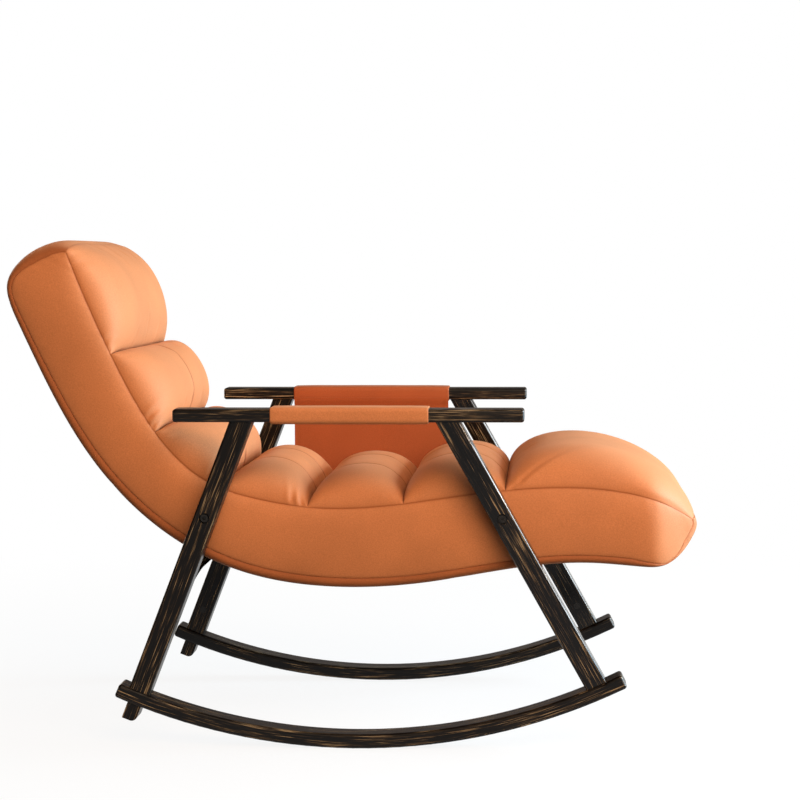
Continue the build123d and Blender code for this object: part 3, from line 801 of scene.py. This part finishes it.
# %% [markdown]
# ## Back cover
# One padded cover goes over the head end, down the back, along the underside and up to the front end. It
# could be a curve with a bevel, but its edge changes on the way. Its section is a wide flat curve with a
# round edge at each side, the same curve as at the end of a roll: it leaves the welt and turns over to
# the outer line. Carried along that line, the section makes the whole cover. Painted shade darkens a
# band along the welt, where the round edge turns away from the light, and two shallow seams go across it.

# %% Back cover
cover_edge, cover_bulge = 18 * mm, 3 * mm
cross_seams = (0.33, 0.72)
cross_groove = (0.8 * mm, 2.5 * mm, 0.3 * mm, 18 * mm)


def cover_skin():
    """Edge: the round end of a roll, from the welt to the outer line, but only 18 mm wide away from the
    head. Middle: the outer line, with a soft bulge of 3 mm x (1 - (Y / half)^2) and a dome at the head
    end."""
    s = np.unique(np.concatenate([
        np.linspace(0.0, 0.2, 90), np.linspace(0.2, 0.9, 170), np.linspace(0.9, 1.0, 60),
    ]))
    outer, into = on_line(outer_line, s)
    welt = welt_at(s)
    edge_round = (cover_edge + (end_arch - cover_edge) * bell(s, 0.07))[:, None]
    u, y_edge, rise = end_curve(24, edge_round)
    middle = np.linspace(-1.0, 1.0, 60)[1:-1] * y_edge[:, -1:]
    y = np.concatenate([-y_edge, middle, y_edge[:, ::-1]], 1)
    lift, from_welt = [np.concatenate([a, np.ones(middle.shape[1]), a[::-1]]) for a in (rise, u)]
    flat = welt[:, None, :] + lift[None, :, None] * (outer - welt)[:, None, :]
    bulge = cover_bulge * (1.0 - (y / seat_half) ** 2) * np.sin(pi * s)[:, None] ** 0.4
    bulge = bulge + head_dome * bell(s, 0.06)[:, None] * lift
    to_welt = from_welt[None, :] * edge_round
    # Painted shade: a thin dark line on the welt and a band about 18 mm wide beside it; thin dark lines on
    # the cross seams.
    near = nose_shade(s) * np.maximum(fading(to_welt, line_width), 0.9 * bell(to_welt, 18 * mm))
    for seam in cross_seams:
        from_seam = ((s - seam) * outer_length)[:, None]
        bulge = bulge - groove(from_seam, *cross_groove) * lift
        near = np.maximum(near, 0.7 * bell(from_seam, 2 * mm))
    flat = flat - into[:, None, :] * bulge[..., None]
    wide = plan_share(flat[..., 0])
    top = np.stack([front_bow(flat[..., 0], y * wide), y * wide, flat[..., 1]], -1)
    level = np.linspace(-1.0, 1.0, y.shape[1])[None, :] * -y[:, :1] * wide[:, :1]
    x_welt, z_welt = [np.broadcast_to(welt[:, i : i + 1], y.shape) for i in range(2)]
    bottom = np.stack([x_welt, level, z_welt], -1)
    bottom[:, [0, -1]] = top[:, [0, -1]]
    return top, bottom, near


top, bottom, near = cover_skin()
cover = make_pad("back_cover", top, bottom, seat_fabric, near)
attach(cover, "chair")
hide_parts("under_cover")

# %% [markdown]
# ## Sleeves on the arms
# Fabric with a thin pad is wrapped round each arm rail. It could be a copy of the rail with a thickness,
# but its ends turn in a little and the pad is a little uneven. Its section is a rounded rectangle,
# carried along the rail. The wall has an outer and an inner side, so the grid goes out along the outside
# and back along the inside, and closes on itself in both directions. The left sleeve gets the pouch's
# darker copy of the arm fabric, which paints the shade that the far arm lies in.

# %% Sleeves
sleeve_corner, lining_corner, lining_gap = 8 * mm, 5.4 * mm, 5.6 * mm
sleeve_puff, sleeve_wave, end_turn = 0.9 * mm, 0.15 * mm, 1.3 * mm
tiny_turn = 1e-6


def rounded_ring(width, height, corner, turns):
    """Rounded rectangle in Y and Z: a corner's centre plus corner x (cos turn, sin turn)."""
    c, s = np.cos(turns), np.sin(turns)
    y = np.sign(c) * (width / 2 - corner) + corner * c
    z = np.sign(s) * (height / 2 - corner) + corner * s
    return np.stack([y, z], 1)


def sleeve(node_name):
    """Rings along X: outside from end to end, then inside back again. The first ring and the first point
    of each ring come once more at the end."""
    low, high = [np.array(c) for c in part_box(node_name)]
    middle, size = (low + high) / 2, high - low
    quarter = np.linspace(0.0, pi / 2, 9)[:-1] + tiny_turn
    turns = np.concatenate([quarter + k * pi / 2 for k in range(4)])
    turns = np.sort(np.concatenate([turns, np.arange(1, 5) * pi / 2 - tiny_turn]))
    x = middle[0] + size[0] / 2 * np.sin(np.linspace(-pi / 2, pi / 2, 90))
    from_end = np.minimum(x - low[0], high[0] - x)
    puff = sleeve_puff * (1.0 - fading(from_end, 25 * mm)) + sleeve_wave * uneven(x, 77, 0.05, 0.14)
    grow = puff * np.minimum(from_end / (10 * mm), 1.0) - end_turn * fading(from_end, 0.8 * mm)
    outer = rounded_ring(size[1] - 1 * mm, size[2] - 0.6 * mm, sleeve_corner, turns)
    inner = rounded_ring(size[1] - lining_gap, size[2] - lining_gap, lining_corner, turns)
    radius = outer / np.linalg.norm(outer, axis=1, keepdims=True)
    rings = np.concatenate([middle[1:] + outer + grow[:, None, None] * radius,
                            np.broadcast_to(middle[1:] + inner, (len(x), len(turns), 2))])
    x_rings = np.broadcast_to(np.concatenate([x, x[::-1]])[:, None, None], rings.shape[:2] + (1,))
    # Painted shade: the inside, against the rail, gets the full darkening; the outside none.
    near = np.repeat(np.concatenate([0.0 * x, np.ones(len(x))])[:, None], len(turns), 1)
    once_more = ((0, 1), (0, 1))
    grid = np.pad(np.concatenate([x_rings, rings], -1), (*once_more, (0, 0)), "wrap")
    return grid, np.pad(near, once_more, "wrap")


for name, fabric in (("left", shaded_arm_fabric), ("right", arm_fabric)):
    grid, near = sleeve("arm_sleeve_" + name)
    piece = make_piece("arm_wrap_" + name, grid, grid_faces(*grid.shape[:2]), fabric, near)
    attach(piece, "chair")
    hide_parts("arm_sleeve_" + name)

# %% [markdown]
# ## The hanging pouch
# A panel of fabric hangs from the inner edge of the left arm and carries a flat bag on its outer side.
# Cloth could hang them, but the panel has to start at the arm and the bag has to lie on the panel. So
# both are drawn as sheets: a surface over X and height with a small wave, and a second one behind it for
# the thickness. The panel bends where it leaves the arm: over 20 mm its Y goes smoothly from the arm's
# inner edge out to where it hangs.

# %% Pouch panel and bag
hem_top, hem_bend, hem_y, hang_y = 0.5505, 0.02, 0.2604, 0.2668
wave_top, wave_grow = 0.53, 0.1
bag_gap, bag_depth = 1.6 * mm, 16.0 * mm
sheet_thick = 2.2 * mm


def thick_sheet(x, y, z):
    """Front and back grid of a sheet: the surface moved along Y by half of the thickness each way."""
    return [np.stack([x, y + half, z], -1) for half in (-sheet_thick / 2, sheet_thick / 2)]


low, high = [np.array(c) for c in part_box("pouch_back")]
x, z = np.meshgrid(np.linspace(low[0], high[0], 70), np.linspace(hem_top, low[2], 80))
y = hem_y + (hang_y - hem_y) * smooth_step((hem_top - z) / hem_bend)
y = y + 0.5 * mm * uneven(x, 5, 0.08, 0.2) * np.clip((wave_top - z) / wave_grow, 0.0, 1.0)
from_edge = np.minimum(np.minimum(x - low[0], high[0] - x), z - low[2])
near = 0.5 * bell(from_edge - 7 * mm, 1.5 * mm)
panel = make_pad("pouch_panel", *thick_sheet(x, y, z), shaded_arm_fabric, near)
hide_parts("pouch_back")

low, high = [np.array(c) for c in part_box("pouch_pocket")]
x, z = np.meshgrid(np.linspace(low[0], high[0], 70), np.linspace(high[2], low[2], 60))
u = (x - low[0]) / (high[0] - low[0])
v = (z - low[2]) / (high[2] - low[2])
belly = np.sin(pi * u) ** 0.55 * (1.0 - (1.0 - np.clip(v / 0.55, 0.0, 1.0)) ** 2.4) * (1.0 - 0.18 * v**2)
y = low[1] + bag_gap + bag_depth * belly + 0.6 * mm * uneven(x + 0.3 * z, 15, 0.05, 0.15) * belly
near = 0.6 * bell(high[2] - z - 9 * mm, 1.5 * mm)
bag = make_pad("pouch_bag", *thick_sheet(x, y, z), shaded_arm_fabric, near)
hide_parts("pouch_pocket")
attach(bag, "pouch")
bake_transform(panel)

# %% [markdown]
# ## Bolts and the inside of the seat
# The bolts and washers are black oxide steel. Inside the seat are painted steel tubes, elastic webbing
# and foam, which show only when the covers are taken off, but they get their finishes too. Each one could
# have its own graph, but they differ only in colours, scale and gloss, so one recipe serves them all.

# %% Hardware, steel, webbing, foam and dowels
def plain_finish(name, dark, light, scale, gloss, metal, bump_depth, stretch=(1.0, 1.0, 1.0)):
    """Two tones of one colour mixed by noise, which also gives the bump and the change of roughness."""
    material, tree, shader, coords = new_material(name)
    grain = noise(tree, mapped(tree, coords, {"Scale": stretch}), scale, 4.0)
    tone = ramp(tree, grain, [(0.35, dark), (0.65, light)])
    rough, normal = ranged(tree, grain, *gloss), bumped(tree, grain, 0.3, bump_depth)
    connect(tree, shader, {"Metallic": metal}, {"Base Color": tone, "Roughness": rough, "Normal": normal})
    return material


finishes = {
    "dark_hardware": plain_finish("black_oxide", (0.004, 0.0035, 0.003), (0.011, 0.009, 0.0075), 400.0,
                                  (0.35, 0.5), 0.6, 0.0002),
    "frame_steel": plain_finish("powder_coat", (0.012, 0.012, 0.012), (0.02, 0.02, 0.02), 900.0,
                                (0.45, 0.6), 0.0, 0.0003),
    "webbing": plain_finish("webbing_weave", (0.018, 0.017, 0.016), (0.04, 0.037, 0.034), 60.0,
                            (0.75, 0.9), 0.0, 0.0006, (10.0, 1.0, 1.0)),
    "foam": plain_finish("open_foam", (0.62, 0.55, 0.38), (0.78, 0.72, 0.55), 500.0,
                         (0.85, 0.95), 0.0, 0.001),
    "dowel_wood": plain_finish("raw_beech", (0.42, 0.25, 0.12), (0.58, 0.38, 0.20), 70.0,
                               (0.55, 0.7), 0.0, 0.0003, (8.0, 1.0, 8.0)),
}
for entry in frame["record"]["subparts"]:
    if entry["material_slot"] in finishes:
        cover_node(entry["node"], finishes[entry["material_slot"]])
print("finishes:", ", ".join(finishes))

# %% [markdown]
# ## Floor
# The chair stands on a plain white floor. A lit white floor would throw too much light up at the chair.
# So the floor glows white to the camera and in reflections, a little less near the chair, where part of
# the soft shadow shows, and for all other light it is dark.

# %% Floor
shadow_end, all_white = 0.5, 2.2
floor_mesh = bpy.data.meshes.new("floor")
floor_mesh.from_pydata([(-30, -30, 0), (30, -30, 0), (30, 30, 0), (-30, 30, 0)], [], [(0, 1, 2, 3)])
floor = add_object("floor", floor_mesh)
white_paint, tree, shader, coords = new_material("white_floor")
far = node(tree, "ShaderNodeVectorMath", links={0: coords}, operation="LENGTH").outputs["Value"]
path = node(tree, "ShaderNodeLightPath").outputs
seen = calc(tree, "MAXIMUM", path["Is Camera Ray"], path["Is Glossy Ray"])
seen = calc(tree, "MAXIMUM", seen, path["Is Transmission Ray"])
share = calc(tree, "MULTIPLY", seen, ranged(tree, far, 0.88, 1.0, shadow_end, all_white))
tone = ramp(tree, seen, [(0.0, (0.06, 0.06, 0.06)), (1.0, (0.88, 0.88, 0.88))])
connect(tree, shader, {"Roughness": 0.9}, {"Base Color": tone})
white = node(tree, "ShaderNodeEmission", {"Color": (1.0, 1.0, 1.0, 1.0), "Strength": 1.0})
mix = node(tree, "ShaderNodeMixShader", links={0: share, 1: shader.outputs[0], 2: white.outputs[0]})
connect(tree, tree.nodes["Material Output"], links={"Surface": mix.outputs[0]})
floor_mesh.materials.append(white_paint)
print("floor is all white from", all_white, "m away from the middle")

# %% [markdown]
# ## Light
# A cool lamp stands to the right, a little higher than the chair, so that the rolls that face forward are
# bright. A large warm lamp right of the camera and higher lights the side, and a weak one stands behind.
# The room is dim and warm, a little brighter above, to the right and behind the chair, and a faint white
# wall behind it shows in reflections. One image of a studio could replace all this, but lamps are easier
# to move. The bright line on the front legs is a mirror image, so a long lamp hangs where the legs' round
# front edges reflect it to the camera. It shows only in reflections.

# %% World
world = bpy.data.worlds.new("studio")
bpy.context.scene.world = world
world.use_nodes = True
tree = world.node_tree
room = tree.nodes["Background"]
way = node(tree, "ShaderNodeTexCoord").outputs["Generated"]
parts = node(tree, "ShaderNodeSeparateXYZ", links={"Vector": way}).outputs
level = calc(tree, "ADD", ranged(tree, parts["Z"], 0.02, 0.14), ranged(tree, parts["X"], 0.0, 0.12))
level = calc(tree, "ADD", level, ranged(tree, parts["Y"], 0.0, 0.10))
connect(tree, room, {"Color": (1.2, 0.90, 0.74, 1.0)}, {"Strength": level})
path = node(tree, "ShaderNodeLightPath").outputs
seen = calc(tree, "MAXIMUM", path["Is Camera Ray"], path["Is Transmission Ray"])
wall = calc(tree, "MULTIPLY", ranged(tree, parts["Y"], 0.0, 0.15, 0.3, 0.8), path["Is Glossy Ray"])
seen = calc(tree, "MAXIMUM", seen, wall)
white = node(tree, "ShaderNodeBackground", {"Color": (1.0, 1.0, 1.0, 1.0), "Strength": 1.0})
mix = node(tree, "ShaderNodeMixShader", links={0: seen, 1: room.outputs[0], 2: white.outputs[0]})
connect(tree, tree.nodes["World Output"], links={"Surface": mix.outputs[0]})
print("world:", world.name, "with", len(tree.nodes), "nodes")

# %% Lamps
def soft_lamp(name, place, target, size, power, colour):
    """Square area lamp that points at a target."""
    data = bpy.data.lights.new(name, "AREA")
    data.shape = "SQUARE"
    data.size = size
    data.energy = power
    data.color = colour
    lamp = add_object(name, data)
    lamp.rotation_euler = (Vector(place) - Vector(target)).to_track_quat("Z", "Y").to_euler()
    lamp.location = place
    return lamp


soft_lamp("key_lamp", (3.55, 0.55, 1.2), (0.0, 0.0, 0.55), 2.2, 280.0, (0.76, 1.10, 1.34))
soft_lamp("fill_lamp", (1.4, -3.25, 2.4), (0.0, 0.0, 0.45), 3.4, 182.0, (1.10, 0.82, 0.58))
strip = soft_lamp("edge_lamp", (3.02, -0.3, 1.65), (0.42, -0.3, 0.18), 4.0, 450.0, (1.0, 1.0, 1.0))
strip.data.shape = "RECTANGLE"
strip.data.size_y = 1.0
strip.visible_diffuse = False
soft_lamp("back_lamp", (-2.4, 3.0, 1.0), (0.0, 0.0, 0.45), 2.0, 42.0, (1.0, 0.88, 0.74))

# %% [markdown]
# ## Last update
# Fabric may stand a little proud of the CAD solids. The view layer is updated once more.

# %% Update the view layer
bpy.context.view_layer.update()
